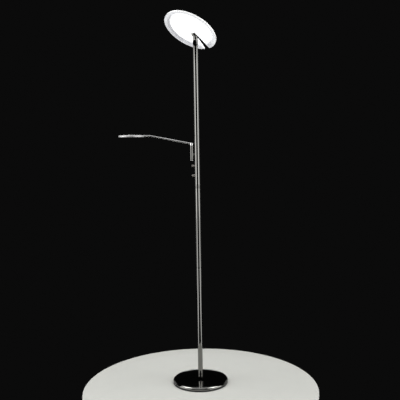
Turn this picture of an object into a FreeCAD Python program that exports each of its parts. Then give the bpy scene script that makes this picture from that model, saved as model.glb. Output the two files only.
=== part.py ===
"""Torchiere floor lamp with a reading light.

Frame: origin at the centre of the foot pad's underside, +Z up along the pole.
The reading arm points to -X, and the big head leans towards slotAzimuth.
"""
import FreeCAD, Part
import math
import os
import Sketcher

Vector = FreeCAD.Vector
Rotation = FreeCAD.Rotation
Placement = FreeCAD.Placement

document = FreeCAD.newDocument("FloorLamp")
sheet = document.addObject("Spreadsheet::Sheet", "Sizes")

# Driving dimensions, in millimetres and degrees.
drivingSizes = {
    # foot
    "baseRadius": 142.5, "baseEdge": 9.0, "baseShoulder": 12.0, "baseSlope": 18.0,
    "coverWall": 1.2, "padRadius": 141.5, "padThick": 4.5, "plateRadius": 138.5, "plateThick": 1.5,
    "weightRadius": 136.5, "weightEdge": 15.0, "weightSlope": 60.0, "weightTop": 22.0, "hubRadius": 33.0,
    "recessRadius": 18.0, "recessTop": 26.5,
    "screwCircle": 100.0, "screwRadius": 2.0, "screwLength": 8.0, "driverStart": 36.0,
    "driverLength": 74.0, "driverHalf": 22.0, "driverTop": 18.5, "cableRadius": 2.0, "cableRun": 9.0,
    "cableBend": 5.5, "glandHeight": 12.5, "glandRadius": 4.0, "glandBore": 3.0,
    # pole
    "poleRadius": 12.5, "poleWall": 1.2, "poleFoot": 41.85, "lowerJoint": 600.0, "upperJoint": 1010.0,
    "poleTop": 1745.0, "couplerHalf": 30.0, "couplerBore": 8.0, "studRadius": 5.0,
    # reading arm
    "sleeveOffset": 27.0, "sleeveRadius": 7.5, "sleeveWall": 2.0, "sleeveBottom": 1152.0,
    "hubBottom": 1226.0, "hubTop": 1240.0, "rodStart": 1235.0, "bracketHeight": 1180.0,
    "bracketRadius": 6.0, "rodRadius": 4.0, "rodBore": 2.6, "neckHeight": 1277.0, "bendX": 235.0,
    "bendRadius": 25.0, "spindleRadius": 4.0,
    # reading light
    "readingX": 328.5, "readingRadius": 63.5, "readingHalf": 4.5, "readingWall": 1.2, "capRadius": 24.0,
    "capTop": 10.0, "neckPinRadius": 2.0, "neckBoss": 4.8,
    # dimmers
    "upperDimmer": 1123.5, "lowerDimmer": 1074.5, "knobRadius": 6.0, "knobStart": 14.0, "knobEnd": 28.0,
    "shaftRadius": 2.0, "bushRadius": 3.5,
    # big head
    "headRadius": 138.0, "headRim": 7.0, "headDepth": 22.0, "headWall": 1.2, "slotHalf": 18.0,
    "slotStart": 17.5, "ringInner": 112.4, "ringKnee": 121.0, "kneeDepth": 2.6, "ringDepth": 9.0,
    "diffuserRadius": 111.6, "diffuserCrown": 2.0, "diffuserEdge": 8.0, "diffuserWall": 2.0,
    "boardInner": 54.0, "boardOuter": 95.0, "boardDepth": 10.5, "boardWall": 1.6,
    "pillarCircle": 75.0, "pillarRadius": 3.0,
    # tilt joint
    "pivotHeight": 1776.6, "pivotDepth": 11.0, "pivotOffset": 35.1, "pivotRadius": 3.0,
    "flatHalf": 10.5, "cheekWall": 2.5, "cheekTop": 6.4,
    "slotAzimuth": 43.05, "headTilt": 34.3,
    # clearances
    "fit": 0.05, "gap": 0.3,
}
for row, (alias, amount) in enumerate(drivingSizes.items(), start=1):
    sheet.set(f"A{row}", alias)
    sheet.set(f"B{row}", str(amount))
    sheet.setAlias(f"B{row}", alias)
document.recompute()


class Size:
    """A length worked out from the sheet: its formula, and the number that the formula gives."""

    def __init__(self, formula, value):
        self.formula = formula
        self.value = value

    def __add__(self, other):
        other = asSize(other)
        return Size(f"({self.formula} + {other.formula})", self.value + other.value)

    def __sub__(self, other):
        other = asSize(other)
        return Size(f"({self.formula} - {other.formula})", self.value - other.value)

    def __mul__(self, other):
        other = asSize(other)
        return Size(f"({self.formula} * {other.formula})", self.value * other.value)

    def __truediv__(self, other):
        other = asSize(other)
        return Size(f"({self.formula} / {other.formula})", self.value / other.value)

    def __neg__(self):
        return Size(f"(-{self.formula})", -self.value)


def asSize(amount):
    return amount if isinstance(amount, Size) else Size(str(float(amount)), float(amount))


def sine(angle):
    return Size(f"sin({angle.formula})", math.sin(math.radians(angle.value)))


def cosine(angle):
    return Size(f"cos({angle.formula})", math.cos(math.radians(angle.value)))


def root(amount):
    return Size(f"sqrt({amount.formula})", math.sqrt(amount.value))


class Named:
    """Every driving dimension as a Size attribute."""


size = Named()
for alias, amount in drivingSizes.items():
    setattr(size, alias, Size(f"Sizes.{alias}", amount))

pieces = {}


def bind(item, field, amount):
    """Tie one property of a document object to the sheet."""
    item.setExpression(field, asSize(amount).formula)


def keep(item, label):
    """Name a finished sub-part."""
    item.Label = label
    pieces[label] = item
    return item


# ---------------------------------------------------------------- sketches and bodies

def originPlane(body, role):
    return next(feature for feature in body.Origin.OriginFeatures if feature.Role == role)


def sketchOn(body, role, offset=None):
    sketch = body.newObject("Sketcher::SketchObject", body.Name + "_sketch")
    sketch.AttachmentSupport = [(originPlane(body, role), "")]
    sketch.MapMode = "FlatFace"
    if offset is not None:
        sketch.AttachmentOffset = Placement(Vector(0, 0, asSize(offset).value), Rotation())
        bind(sketch, "AttachmentOffset.Base.z", offset)
    return sketch


def dimension(sketch, kind, amount, geometry, position):
    """Place one end of an element along X or Y from the sketch's origin."""
    if abs(amount.value) < 1e-9:
        axis = -2 if kind == "DistanceX" else -1
        sketch.addConstraint(Sketcher.Constraint("PointOnObject", geometry, position, axis))
        return
    index = sketch.addConstraint(Sketcher.Constraint(kind, -1, 1, geometry, position, amount.value))
    bind(sketch, f"Constraints[{index}]", amount)


def arcBetween(start, end, radius, side):
    """The minor arc from start to end: side +1 turns left, -1 turns right."""
    chord = end - start
    middle = (start + end) * 0.5
    left = Vector(-chord.y, chord.x, 0).normalize()
    height = math.sqrt(max(radius ** 2 - (chord.Length / 2) ** 2, 0.0))
    centre = middle + left * (height * side)
    first, last = (start, end) if side > 0 else (end, start)
    angles = [math.atan2(point.y - centre.y, point.x - centre.x) for point in (first, last)]
    if angles[1] < angles[0]:
        angles[1] += 2 * math.pi
    return Part.ArcOfCircle(Part.Circle(centre, Vector(0, 0, 1), radius), angles[0], angles[1])


def drawOutline(sketch, corners):
    """Closed outline. A corner is (x, y), or (x, y, radius, side) where an arc leaves it."""
    corners = [(asSize(corner[0]), asSize(corner[1])) + tuple(corner[2:]) for corner in corners]
    points = [Vector(corner[0].value, corner[1].value, 0) for corner in corners]
    starts, ends = [], []
    for index, corner in enumerate(corners):
        start, end = points[index], points[(index + 1) % len(points)]
        if len(corner) > 2:
            radius, side = asSize(corner[2]), corner[3]
            geometry = sketch.addGeometry(arcBetween(start, end, radius.value, side), False)
            starts.append((geometry, 1 if side > 0 else 2))
            ends.append((geometry, 2 if side > 0 else 1))
        else:
            geometry = sketch.addGeometry(Part.LineSegment(start, end), False)
            starts.append((geometry, 1))
            ends.append((geometry, 2))
    for index, corner in enumerate(corners):
        sketch.addConstraint(Sketcher.Constraint("Coincident", *ends[index - 1], *starts[index]))
        dimension(sketch, "DistanceX", corner[0], *starts[index])
        dimension(sketch, "DistanceY", corner[1], *starts[index])
        if len(corner) > 2:
            radius = asSize(corner[2])
            place = sketch.addConstraint(Sketcher.Constraint("Radius", starts[index][0], radius.value))
            bind(sketch, f"Constraints[{place}]", radius)


def drawCircle(sketch, x, y, radius):
    x, y, radius = asSize(x), asSize(y), asSize(radius)
    circle = Part.Circle(Vector(x.value, y.value, 0), Vector(0, 0, 1), radius.value)
    geometry = sketch.addGeometry(circle, False)
    dimension(sketch, "DistanceX", x, geometry, 3)
    dimension(sketch, "DistanceY", y, geometry, 3)
    place = sketch.addConstraint(Sketcher.Constraint("Radius", geometry, radius.value))
    bind(sketch, f"Constraints[{place}]", radius)


def box(left, bottom, right, top):
    """Corners of a rectangle, or of a turned tube seen in section."""
    return [(left, bottom), (right, bottom), (right, top), (left, top)]


def turned(name, corners):
    """A body turned about its own Z axis from a half section (radius, height)."""
    body = document.addObject("PartDesign::Body", name)
    sketch = sketchOn(body, "XZ_Plane")
    drawOutline(sketch, corners)
    spin = body.newObject("PartDesign::Revolution", name + "_turn")
    spin.Profile = sketch
    spin.ReferenceAxis = (sketch, ["V_Axis"])
    spin.Angle = 360.0
    return body


def pocketed(body, role, offset, depth, outlines=(), circles=(), both=False):
    """Cut one flat sketch out of a body, against the sketch's normal, or both ways."""
    sketch = sketchOn(body, role, offset)
    for outline in outlines:
        drawOutline(sketch, outline)
    for circle in circles:
        drawCircle(sketch, *circle)
    cut = body.newObject("PartDesign::Pocket", body.Name + "_pocket")
    cut.Profile = sketch
    bind(cut, "Length", depth)
    if both:
        cut.SideType = "Symmetric"
    return body


# ---------------------------------------------------------------- primitives

rotations = {  # from local Z to the way that a piece runs
    "z": Rotation(),
    "x": Rotation(Vector(0, 1, 0), 90),
    "-x": Rotation(Vector(0, 1, 0), -90),
    "y": Rotation(Vector(1, 0, 0), -90),
}


def put(item, x=0, y=0, z=0, along="z"):
    """Place a primitive by its start point and the way that it runs."""
    spot = [asSize(x), asSize(y), asSize(z)]
    item.Placement = Placement(Vector(*[part.value for part in spot]), rotations[along])
    for letter, part in zip("xyz", spot):
        bind(item, f"Placement.Base.{letter}", part)
    return item


def moved(item, x=0, z=0, along="z"):
    """Place a whole piece that was made about the origin."""
    item.Placement = Placement(Vector(asSize(x).value, 0, asSize(z).value), rotations[along])
    bind(item, "Placement.Base.x", x)
    bind(item, "Placement.Base.z", z)
    return item


def rod(name, radius, length, x=0, y=0, z=0, along="z"):
    item = document.addObject("Part::Cylinder", name)
    bind(item, "Radius", radius)
    bind(item, "Height", length)
    return put(item, x, y, z, along)


def cone(name, radius, farRadius, length, x=0, y=0, z=0, along="z"):
    item = document.addObject("Part::Cone", name)
    bind(item, "Radius1", radius)
    bind(item, "Radius2", farRadius)
    bind(item, "Height", length)
    return put(item, x, y, z, along)


def block(name, length, width, height, x=0, y=0, z=0):
    item = document.addObject("Part::Box", name)
    bind(item, "Length", length)
    bind(item, "Width", width)
    bind(item, "Height", height)
    return put(item, x, y, z)


def hexagon(name, acrossFlats, length, x=0, y=0, z=0, along="z"):
    item = document.addObject("Part::Prism", name)
    item.Polygon = 6
    bind(item, "Circumradius", asSize(acrossFlats) / math.sqrt(3))
    bind(item, "Height", length)
    return put(item, x, y, z, along)


def fused(name, *items):
    item = document.addObject("Part::MultiFuse", name)
    item.Shapes = list(items)
    return item


def common(name, *items):
    item = document.addObject("Part::MultiCommon", name)
    item.Shapes = list(items)
    return item


def cut(name, item, *tools):
    """Take one or more tools away from an item."""
    for number, tool in enumerate(tools):
        result = document.addObject("Part::Cut", name if number == len(tools) - 1 else f"{name}_{number}")
        result.Base, result.Tool = item, tool
        item = result
    return item


def group(name, items):
    """Identical loose pieces that share one node."""
    item = document.addObject("Part::Compound", name)
    item.Links = items
    return item


# ---------------------------------------------------------------- foot

slopeSine, slopeCosine = sine(size.baseSlope), cosine(size.baseSlope)
edgeTop = size.baseEdge
shoulderX = size.baseRadius - size.baseShoulder * (asSize(1) - slopeSine)
shoulderZ = edgeTop + size.baseShoulder * slopeCosine
domeRadius = shoulderX / slopeSine
domeCentre = shoulderZ - domeRadius * slopeCosine
innerDome = domeRadius - size.coverWall
innerShoulder = size.baseShoulder - size.coverWall
innerX = shoulderX - size.coverWall * slopeSine
innerZ = shoulderZ - size.coverWall * slopeCosine
studHole = size.studRadius + size.gap
weightBottom = size.padThick + size.plateThick
coverBottom = size.padThick + size.gap


def makeFoot():
    pad = turned("base_pad", box(0, 0, size.padRadius, size.padThick))
    keep(pad, "base_pad")

    plate = turned("plate_disc", box(0, size.padThick, size.plateRadius, weightBottom))
    angles = [45 + 90 * quarter for quarter in range(4)]
    spots = [(size.screwCircle * math.cos(math.radians(angle)),
              size.screwCircle * math.sin(math.radians(angle))) for angle in angles]
    headRadius = size.screwRadius * 2
    sinks = group("plate_sinks", [
        cone(f"plate_sink_{number}", headRadius + size.fit, size.screwRadius + size.fit, size.plateThick,
             x, y, size.padThick) for number, (x, y) in enumerate(spots)])
    keep(cut("base_plate", plate, sinks), "base_plate")

    def weightDome(radius):
        return domeCentre + root((innerDome - 0.1) * (innerDome - 0.1) - radius * radius)

    # Only the hub in the middle reaches up to the cover.
    weight = turned("base_weight", [
        (size.recessRadius, weightBottom), (size.weightRadius, weightBottom),
        (size.weightRadius, size.weightEdge), (size.weightSlope, size.weightTop),
        (size.hubRadius, weightDome(size.hubRadius), innerDome - 0.1, 1),
        (studHole, weightDome(studHole)), (studHole, size.recessTop), (size.recessRadius, size.recessTop)])
    pocketEnd = size.driverStart + size.driverLength + 2
    roomHalf = size.driverHalf + 2
    pocketed(weight, "XY_Plane", size.recessTop + 15, 45, outlines=[
        [(-roomHalf, size.driverStart - 2), (roomHalf, size.driverStart - 2),
         (roomHalf, pocketEnd), (-roomHalf, pocketEnd)]])
    pocketed(weight, "XY_Plane", size.cableRun + 4, 10, outlines=[
        [(-4, 10), (4, 10), (4, size.driverStart), (-4, size.driverStart)]])
    pocketed(weight, "XY_Plane", size.glandHeight + 4.5, 12, outlines=[
        [(-6, pocketEnd - 2), (6, pocketEnd - 2), (6, size.weightRadius + 2), (-6, size.weightRadius + 2)]])
    pocketed(weight, "XY_Plane", weightBottom + size.screwLength + 0.5, 12,
             circles=[(x, y, size.screwRadius) for x, y in spots])
    keep(weight, "base_weight")

    cover = turned("cover_shell", [
        (size.baseRadius - size.coverWall, coverBottom), (size.baseRadius, coverBottom),
        (size.baseRadius, edgeTop, size.baseShoulder, 1), (shoulderX, shoulderZ, domeRadius, 1),
        (studHole, domeCentre + root(domeRadius * domeRadius - studHole * studHole)),
        (studHole, domeCentre + root(innerDome * innerDome - studHole * studHole), innerDome, -1),
        (innerX, innerZ, innerShoulder, -1), (size.baseRadius - size.coverWall, edgeTop)])
    hole = rod("gland_hole", size.glandRadius, 20, 0, size.baseRadius - 10, size.glandHeight, "y")
    keep(cut("base_cover", cover, hole), "base_cover")

    # The screws are countersunk in the plate and bite into the weight.
    screws = [fused(f"base_screw_{number}",
                    cone(f"screw_head_{number}", headRadius, size.screwRadius - size.fit, size.plateThick,
                         x, y, size.padThick),
                    rod(f"screw_shank_{number}", size.screwRadius - size.fit, size.screwLength,
                        x, y, weightBottom))
              for number, (x, y) in enumerate(spots)]
    keep(group("base_screws", screws), "base_screws")

    driverBottom = weightBottom + 0.5
    driver = block("led_driver", size.driverHalf * 2, size.driverLength, size.driverTop - driverBottom,
                   -size.driverHalf, size.driverStart, driverBottom)
    keep(driver, "led_driver")

    # Rubber gland in the cover's rear edge: its flange is shaped to the curved edge.
    start, end = size.padRadius - 1, size.baseRadius + 2.5
    flange = rod("gland_flange", size.glandRadius + 1.5, end - start, 0, start, size.glandHeight, "y")
    form = turned("edge_form", [
        (0, 0), (size.baseRadius, 0), (size.baseRadius, edgeTop, size.baseShoulder, 1),
        (shoulderX, shoulderZ), (0, shoulderZ)])
    stem = rod("gland_stem", size.glandRadius - size.fit, end - start, 0, start, size.glandHeight, "y")
    bore = rod("gland_bore", size.glandBore, 30, 0, start - 5, size.glandHeight, "y")
    keep(cut("cord_gland", fused("gland_body", cut("gland_rim", flange, form), stem), bore), "cord_gland")


def makeStud():
    """Hollow threaded stud that clamps cover and weight to the pole."""
    washerTop = size.recessTop
    nutTop = washerTop - 2
    studBottom = size.cableRun + size.cableBend
    stud = turned("pole_stud", box(size.studRadius - 1.7, studBottom, size.studRadius, size.poleFoot + 26))
    keep(stud, "pole_stud")
    keep(turned("stud_washer", box(studHole, nutTop, size.recessRadius - 3, washerTop)), "stud_washer")
    nut = hexagon("nut_blank", 17, nutTop - studBottom, z=studBottom)
    nutBore = rod("nut_bore", size.studRadius + 0.02, 20, z=studBottom - 2)
    keep(cut("stud_nut", nut, nutBore), "stud_nut")


# ---------------------------------------------------------------- pole

poleBore = size.poleRadius - size.poleWall
plugRadius = poleBore - 0.02


def makePole():
    keep(turned("foot_plug", box(size.studRadius + 0.02, size.poleFoot, plugRadius, size.poleFoot + 30)),
         "foot_plug")
    keep(turned("lower_tube", box(poleBore, size.poleFoot, size.poleRadius, size.lowerJoint)), "lower_tube")
    keep(turned("middle_tube", box(poleBore, size.lowerJoint, size.poleRadius, size.upperJoint)),
         "middle_tube")
    couplers = [turned(f"coupler_{number}", box(size.couplerBore, height - size.couplerHalf,
                                                plugRadius, height + size.couplerHalf))
                for number, height in enumerate((size.lowerJoint, size.upperJoint))]
    keep(group("pole_couplers", couplers), "pole_couplers")

    upper = turned("upper_tube", box(poleBore, size.upperJoint, size.poleRadius, size.poleTop))
    pocketed(upper, "YZ_Plane", 0, 20, circles=[
        (0, size.upperDimmer, size.bushRadius + 0.1), (0, size.lowerDimmer, size.bushRadius + 0.1),
        (0, size.bracketHeight, 2.1)])
    pocketed(upper, "XZ_Plane", 0, 20, circles=[(0, size.poleTop - 12.5, 2.02)])
    keep(upper, "upper_tube")

    # Nylon ring that the swivelling top sits on, and the grub screw that keeps the top in.
    keep(turned("swivel_washer", box(poleBore + 0.2, size.poleTop, size.poleRadius, size.poleTop + 1)),
         "swivel_washer")
    grub = rod("swivel_grub", 2, size.poleWall + 1.4, 0, poleBore - 1.0, size.poleTop - 12.5, "y")
    keep(grub, "swivel_grub")

    # Lead from the driver: along the foot, then up the middle of the pole.
    body = document.addObject("PartDesign::Body", "pole_cable")
    route = sketchOn(body, "YZ_Plane")
    top = size.poleTop - 40
    corner = size.cableRun + size.cableBend
    points = [Vector(size.driverStart.value, size.cableRun.value, 0),
              Vector(size.cableBend.value, size.cableRun.value, 0),
              Vector(0, corner.value, 0), Vector(0, top.value, 0)]
    route.addGeometry([Part.LineSegment(points[0], points[1]),
                       arcBetween(points[1], points[2], size.cableBend.value, -1),
                       Part.LineSegment(points[2], points[3])], False)
    route.addConstraint(Sketcher.Constraint("Coincident", 0, 2, 1, 2))
    route.addConstraint(Sketcher.Constraint("Coincident", 1, 1, 2, 1))
    for geometry, position, x, y in ((0, 1, size.driverStart, size.cableRun),
                                     (0, 2, size.cableBend, size.cableRun),
                                     (2, 1, asSize(0), corner), (2, 2, asSize(0), top)):
        dimension(route, "DistanceX", x, geometry, position)
        dimension(route, "DistanceY", y, geometry, position)
    bend = route.addConstraint(Sketcher.Constraint("Radius", 1, size.cableBend.value))
    bind(route, f"Constraints[{bend}]", size.cableBend)
    # The XZ plane's normal is -Y, so the section is moved back to the driver's face.
    section = sketchOn(body, "XZ_Plane", -size.driverStart)
    drawCircle(section, 0, size.cableRun, size.cableRadius)
    pipe = body.newObject("PartDesign::AdditivePipe", "cable_pipe")
    pipe.Profile = section
    pipe.Spine = (route, ["Edge1", "Edge2", "Edge3"])
    keep(body, "pole_cable")


# ---------------------------------------------------------------- dimmers

def makeDimmer(side, height):
    """One rotary dimmer through the pole's wall: its axis is local Z, which points to -X."""
    def aim(item):
        return moved(item, 0, height, "-x")

    caseTop = asSize(9.2)
    bushTop = size.knobStart + 1.4
    case = block(f"{side}_case", 14, 12, caseTop - 3.4, -7, -6, 3.4)
    bush = rod(f"{side}_bush", size.bushRadius, bushTop - caseTop, z=caseTop)
    bore = rod(f"{side}_bore", size.shaftRadius + size.fit, 20, z=4.6)
    keep(aim(cut(f"{side}_dimmer", fused(f"{side}_body", case, bush), bore)), f"{side}_dimmer")

    # Washer hollowed to sit on the round pole, and the thin nut inside the knob's skirt.
    disc = rod(f"{side}_disc", size.knobRadius - 0.4, size.knobStart - 0.4 - 10, z=10)
    saddle = rod(f"{side}_saddle", size.poleRadius + 0.02, 40, x=-20, along="x")
    through = rod(f"{side}_through", size.bushRadius + size.fit, 20, z=5)
    keep(aim(cut(f"{side}_washer", disc, saddle, through)), f"{side}_washer")
    nut = hexagon(f"{side}_hex", 8, 1.6, z=size.knobStart - 0.4)
    nutBore = rod(f"{side}_hex_bore", size.bushRadius + 0.02, 20, z=5)
    keep(aim(cut(f"{side}_nut", nut, nutBore)), f"{side}_nut")

    shaftEnd = size.knobEnd - 4
    keep(aim(turned(f"{side}_shaft", box(0, 5, size.shaftRadius, shaftEnd))), f"{side}_shaft")
    skirt = size.knobRadius - 0.9
    knob = turned(f"{side}_knob", [
        (0, shaftEnd + 0.1), (0, size.knobEnd), (size.knobRadius - 0.8, size.knobEnd),
        (size.knobRadius, size.knobEnd - 0.8), (size.knobRadius, size.knobStart), (skirt, size.knobStart),
        (skirt, size.knobStart + 3), (size.shaftRadius + 0.02, size.knobStart + 3),
        (size.shaftRadius + 0.02, shaftEnd + 0.1)])
    keep(aim(knob), f"{side}_knob")


# ---------------------------------------------------------------- reading arm

def makeSleeve():
    """The upright sleeve beside the pole, its bracket and its bushes."""
    bore = size.sleeveRadius - size.sleeveWall
    sleeveTop = size.hubBottom - 0.4
    sleeve = turned("arm_sleeve", box(bore, size.sleeveBottom, size.sleeveRadius, sleeveTop))
    pocketed(sleeve, "YZ_Plane", size.sleeveRadius + 1, 5, circles=[(0, size.bracketHeight, 2.02)])
    keep(moved(sleeve, -size.sleeveOffset), "arm_sleeve")
    plug = turned("sleeve_plug", [
        (0, size.sleeveBottom - 2.5), (size.sleeveRadius - 1.5, size.sleeveBottom - 2.5),
        (size.sleeveRadius, size.sleeveBottom - 1.2), (size.sleeveRadius, size.sleeveBottom),
        (bore - 0.02, size.sleeveBottom), (bore - 0.02, size.sleeveBottom + 2.5),
        (0, size.sleeveBottom + 2.5)])
    keep(moved(plug, -size.sleeveOffset), "sleeve_plug")
    bushes = [turned(f"bush_{number}", box(size.spindleRadius + size.fit, low, bore - 0.02, low + 10))
              for number, low in enumerate((size.sleeveBottom + 9, sleeveTop - 10))]
    keep(moved(group("sleeve_bushes", bushes), -size.sleeveOffset), "sleeve_bushes")

    barrel = rod("bracket_barrel", size.bracketRadius, size.sleeveOffset - 6, -6, 0, size.bracketHeight, "-x")
    poleSaddle = rod("bracket_pole", size.poleRadius + 0.02, 40, z=size.bracketHeight - 20)
    armSaddle = rod("bracket_sleeve", size.sleeveRadius + 0.02, 40, -size.sleeveOffset, 0,
                    size.bracketHeight - 20)
    screwHole = rod("bracket_hole", 2.1, 40, 0, 0, size.bracketHeight, "-x")
    keep(cut("arm_bracket", barrel, poleSaddle, armSaddle, screwHole), "arm_bracket")
    headStart = poleBore - 2.6
    screw = fused("bracket_screw_body",
                  rod("bracket_head", 3.4, 2, -headStart, 0, size.bracketHeight, "-x"),
                  rod("bracket_shank", 1.98, size.sleeveOffset - bore - headStart - 0.5,
                      -headStart, 0, size.bracketHeight, "-x"))
    keep(screw, "bracket_screw")


def makeArm():
    """Turning hub with its spindle, and the bent rod out to the reading light."""
    slope = (size.neckHeight - size.rodStart) / (size.bendX - size.sleeveOffset)
    angle = math.degrees(math.atan(slope.value))
    spindleTop = size.rodStart - size.rodRadius - 1
    hub = turned("hub_blank", [
        (0, spindleTop + 0.1), (size.spindleRadius + 0.02, spindleTop + 0.1),
        (size.spindleRadius + 0.02, size.hubBottom), (size.sleeveRadius, size.hubBottom),
        (size.sleeveRadius, size.hubTop - 1), (size.sleeveRadius - 1, size.hubTop), (0, size.hubTop)])
    moved(hub, -size.sleeveOffset)
    # The rod's seat in the hub follows the rod's slope.
    seat = rod("hub_seat", size.rodRadius + size.fit, 30)
    seat.Placement = Placement(Vector(-size.sleeveOffset.value, 0, size.rodStart.value),
                               Rotation(Vector(0, 1, 0), angle - 90))
    bind(seat, "Placement.Base.x", -size.sleeveOffset)
    bind(seat, "Placement.Base.z", size.rodStart)
    keep(cut("arm_hub", hub, seat), "arm_hub")
    spindleEnd = size.sleeveBottom + 4
    spindle = turned("arm_spindle", box(0, spindleEnd, size.spindleRadius, spindleTop))
    keep(moved(spindle, -size.sleeveOffset), "arm_spindle")
    spindleNut = turned("spindle_nut", box(size.spindleRadius + 0.02, spindleEnd,
                                           size.spindleRadius + 1.1, spindleEnd + 4))
    keep(moved(spindleNut, -size.sleeveOffset), "spindle_nut")

    body = document.addObject("PartDesign::Body", "arm_rod")
    route = sketchOn(body, "XZ_Plane")
    rodTip = size.readingX - size.readingRadius - 10.4
    cornerPull = size.bendRadius * math.tan(math.radians(angle / 2))
    flatStart = (-(size.bendX + cornerPull), size.neckHeight)
    slopeStart = (-(size.bendX - cornerPull * math.cos(math.radians(angle))),
                  size.neckHeight - cornerPull * math.sin(math.radians(angle)))
    innerEnd = (-(size.sleeveOffset + 1), size.rodStart + slope)
    stations = [(-rodTip, size.neckHeight), flatStart, slopeStart, innerEnd]
    points = [Vector(x.value, z.value, 0) for x, z in stations]
    route.addGeometry([Part.LineSegment(points[0], points[1]),
                       arcBetween(points[1], points[2], size.bendRadius.value, -1),
                       Part.LineSegment(points[2], points[3])], False)
    route.addConstraint(Sketcher.Constraint("Coincident", 0, 2, 1, 2))
    route.addConstraint(Sketcher.Constraint("Coincident", 1, 1, 2, 1))
    for (geometry, position), (x, z) in zip(((0, 1), (0, 2), (2, 1), (2, 2)), stations):
        dimension(route, "DistanceX", x, geometry, position)
        dimension(route, "DistanceY", z, geometry, position)
    bend = route.addConstraint(Sketcher.Constraint("Radius", 1, size.bendRadius.value))
    bind(route, f"Constraints[{bend}]", size.bendRadius)
    section = sketchOn(body, "YZ_Plane", -rodTip)
    drawCircle(section, 0, size.neckHeight, size.rodRadius)
    drawCircle(section, 0, size.neckHeight, size.rodBore)
    pipe = body.newObject("PartDesign::AdditivePipe", "rod_pipe")
    pipe.Profile = section
    pipe.Spine = (route, ["Edge1", "Edge2", "Edge3"])
    keep(body, "arm_rod")

    # Hollow pin on the rod's end, on which the reading light turns, and its nut inside the light.
    pinEnd = size.readingX - size.readingRadius + 9
    pin = fused("neck_pin_body",
                rod("neck_pin_root", size.rodBore - size.fit, 8, -(rodTip - 8), 0, size.neckHeight, "-x"),
                rod("neck_pin_stem", size.neckPinRadius, pinEnd - rodTip + 0.5, -(rodTip - 0.5), 0,
                    size.neckHeight, "-x"))
    keep(pin, "neck_pin")
    nut = rod("neck_nut_blank", 3.1, 2.4, -(pinEnd - 3), 0, size.neckHeight, "-x")
    nutBore = rod("neck_nut_bore", size.neckPinRadius + 0.02, 20, -(pinEnd - 10), 0, size.neckHeight, "-x")
    keep(cut("neck_nut", nut, nutBore), "neck_nut")


# ---------------------------------------------------------------- reading light

def makeReadingLight():
    """Shallow round light, lit side down; local origin at the middle of its thickness."""
    def aim(item):
        return moved(item, -size.readingX, size.neckHeight)

    rim, half, wall = size.readingRadius, size.readingHalf, size.readingWall
    crown = half + 1
    pan = turned("pan_blank", [
        (rim, -half), (rim, half - 2.4), (rim - 2.4, half), (size.capRadius, crown), (0, crown),
        (0, crown - wall), (size.capRadius, crown - wall), (rim - 2.8, half - wall),
        (rim - wall, half - 2.8), (rim - wall, -half)])
    aim(pan)
    rimHole = rod("boss_hole", size.neckBoss + 0.02, 14, rim + 6 - size.readingX, 0, size.neckHeight, "-x")
    keep(cut("reading_pan", pan, rimHole), "reading_pan")

    capRise = size.capTop - crown
    capSphere = (size.capRadius * size.capRadius + capRise * capRise) / (capRise * 2)
    cap = turned("reading_cap", [(0, crown), (size.capRadius, crown, capSphere, 1), (0, size.capTop)])
    keep(aim(cap), "reading_cap")
    keep(aim(turned("reading_board", box(6, 0.6, rim - 13.5, 2.2))), "reading_board")
    diffuserEdge = rim - wall - 0.2
    diffuser = turned("reading_diffuser", box(0, -(half - 0.2), diffuserEdge, -(half - 1.3)))
    keep(aim(diffuser), "reading_diffuser")
    posts = [rod(f"reading_post_{number}", 2, 1.4, (rim - 20) * math.cos(math.radians(angle)),
                 (rim - 20) * math.sin(math.radians(angle)), 2.2)
             for number, angle in enumerate((60, 180, 300))]
    keep(aim(group("reading_posts", posts)), "reading_posts")

    # The boss passes through the rim; its slimmer nose clears the diffuser and carries the nut.
    bossStart = size.readingX - rim - 10
    boss = fused("boss_blank",
                 rod("boss_barrel", size.neckBoss, 11.3, -bossStart, 0, size.neckHeight, "-x"),
                 rod("boss_nose", 3, 15.9, -bossStart, 0, size.neckHeight, "-x"))
    bossBore = rod("boss_bore", size.neckPinRadius + size.fit, 40, -(bossStart - 10), 0,
                   size.neckHeight, "-x")
    keep(cut("neck_boss", boss, bossBore), "neck_boss")


# ---------------------------------------------------------------- pole top

azimuth = math.radians(size.slotAzimuth.value)
tilt = math.radians(size.headTilt.value)
turnToSlot = Rotation(Vector(0, 0, 1), size.slotAzimuth.value + 180)
pivotPoint = Vector(0, 0, size.pivotHeight.value)


def makePoleTop():
    """Eye that turns in the pole's end; local origin at the pivot, local Y along the pivot."""
    foot = size.poleTop - size.pivotHeight
    shoulder = foot + 1.1
    spigot = poleBore - size.fit
    stem = turned("eye_stem", [
        (size.bushRadius, foot - 25), (spigot, foot - 25), (spigot, foot - 16), (spigot - 2, foot - 16),
        (spigot - 2, foot - 9), (spigot, foot - 9), (spigot, shoulder), (size.poleRadius, shoulder),
        (size.poleRadius, size.poleRadius), (0, size.poleRadius), (0, -8), (size.bushRadius, -8)])
    dome = fused("eye_form", rod("eye_round", size.poleRadius, 40, 0, -20, 0, "y"),
                 block("eye_below", 40, 40, 80, -20, -20, -80))
    flats = [block(f"eye_flat_{number}", 40, 10, 40, -20, y, -13)
             for number, y in enumerate((size.flatHalf, -(size.flatHalf + 10)))]
    bore = rod("eye_bore", size.pivotRadius + size.fit, 40, 0, -20, 0, "y")
    eye = cut("pole_eye", common("eye_body", stem, dome), *flats, bore)
    eye.Placement = Placement(pivotPoint, turnToSlot)
    bind(eye, "Placement.Base.z", size.pivotHeight)
    keep(eye, "pole_eye")


# ---------------------------------------------------------------- big head
# Local frame: X along the slot to the rim, Y along the pivot, Z out of the lit face,
# origin at the middle of the rim's front plane.

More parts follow.
